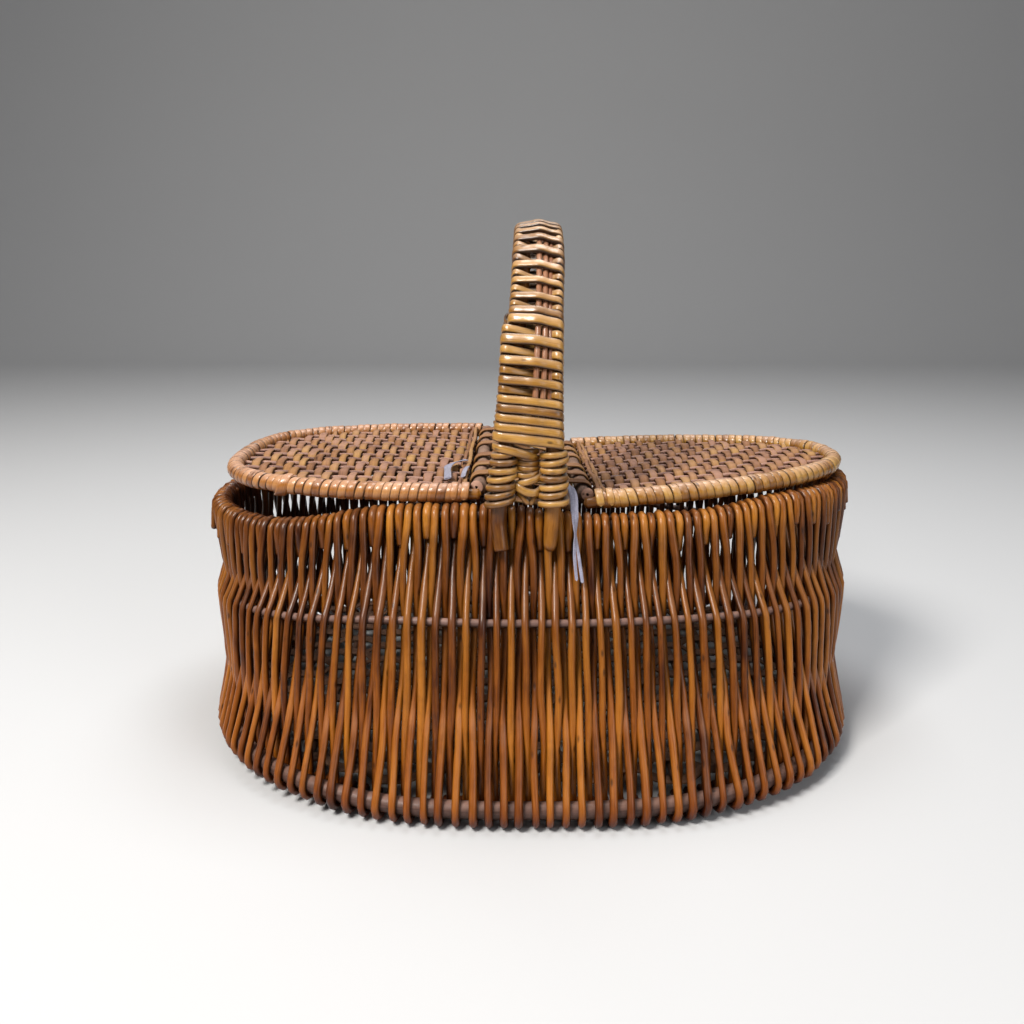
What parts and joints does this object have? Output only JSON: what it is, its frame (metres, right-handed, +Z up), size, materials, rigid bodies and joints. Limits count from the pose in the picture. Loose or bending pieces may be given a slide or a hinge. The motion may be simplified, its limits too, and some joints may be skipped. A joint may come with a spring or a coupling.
{
  "type": "wicker basket with two hinged lids",
  "caption": "Oval hand basket of woven willow with two lids hinged at a middle bridge and a fixed arched handle lapped in cane.",
  "frame": {"origin": "on the ground under the middle of the basket", "axes": "+X along the basket towards the right-hand lid, +Y from the front to the back, +Z up"},
  "size_m": [0.4133, 0.3322, 0.3073],
  "materials": {
    "outer_willow": "glossy old varnish",
    "inner_willow": "satin",
    "hoop_rod": "satin",
    "base_weave": "satin",
    "lid_weave": "worn satin",
    "golden_cane": "glossy old varnish",
    "handle_cane": "glossy old varnish",
    "handle_rod": "satin",
    "bar_wood": "worn satin",
    "tape": "woven tape"
  },
  "bodies": {
    "basket": {"top_hoop": "hoop_rod", "middle_hoop": "hoop_rod", "bottom_hoop": "hoop_rod", "outer_stakes_right": "outer_willow", "outer_stakes_back": "outer_willow", "outer_stakes_left": "outer_willow", "outer_stakes_front": "outer_willow", "inner_stakes_right": "inner_willow", "inner_stakes_back": "inner_willow", "inner_stakes_left": "inner_willow", "inner_stakes_front": "inner_willow", "base_sticks": "base_weave", "base_strips": "base_weave", "handle_left_bow": "handle_rod", "handle_right_bow": "handle_rod", "handle_core_rods": "handle_rod", "handle_lapping": "handle_cane", "front_left_leg_cane": "handle_cane", "front_right_leg_cane": "handle_cane", "back_left_leg_cane": "handle_cane", "back_right_leg_cane": "handle_cane", "front_lashing": "handle_cane", "back_lashing": "handle_cane", "bridge_bars": "bar_wood", "bridge_binding": "golden_cane", "left_hinge_loops": "golden_cane", "right_hinge_loops": "golden_cane", "right_tape_knot": "tape", "right_tape_tail": "tape"},
    "left_lid": {"left_lid_border": "lid_weave", "left_lid_wrap": "golden_cane", "left_lid_hinge_bar": "bar_wood", "left_lid_ribs": "lid_weave", "left_lid_strips": "lid_weave", "left_tape_tail": "tape"},
    "right_lid": {"right_lid_border": "lid_weave", "right_lid_wrap": "golden_cane", "right_lid_hinge_bar": "bar_wood", "right_lid_ribs": "lid_weave", "right_lid_strips": "lid_weave"}
  },
  "joints": [
    {"name": "left_lid_hinge", "type": "hinge", "parent": "basket", "child": "left_lid", "pos_m": [-0.03, 0, 0.1493], "axis": [0, 1, 0], "range_deg": [0, 94]},
    {"name": "right_lid_hinge", "type": "hinge", "parent": "basket", "child": "right_lid", "pos_m": [0.03, 0, 0.14151], "axis": [0, -0.9993, 0.0366], "range_deg": [0, 87]}
  ]
}
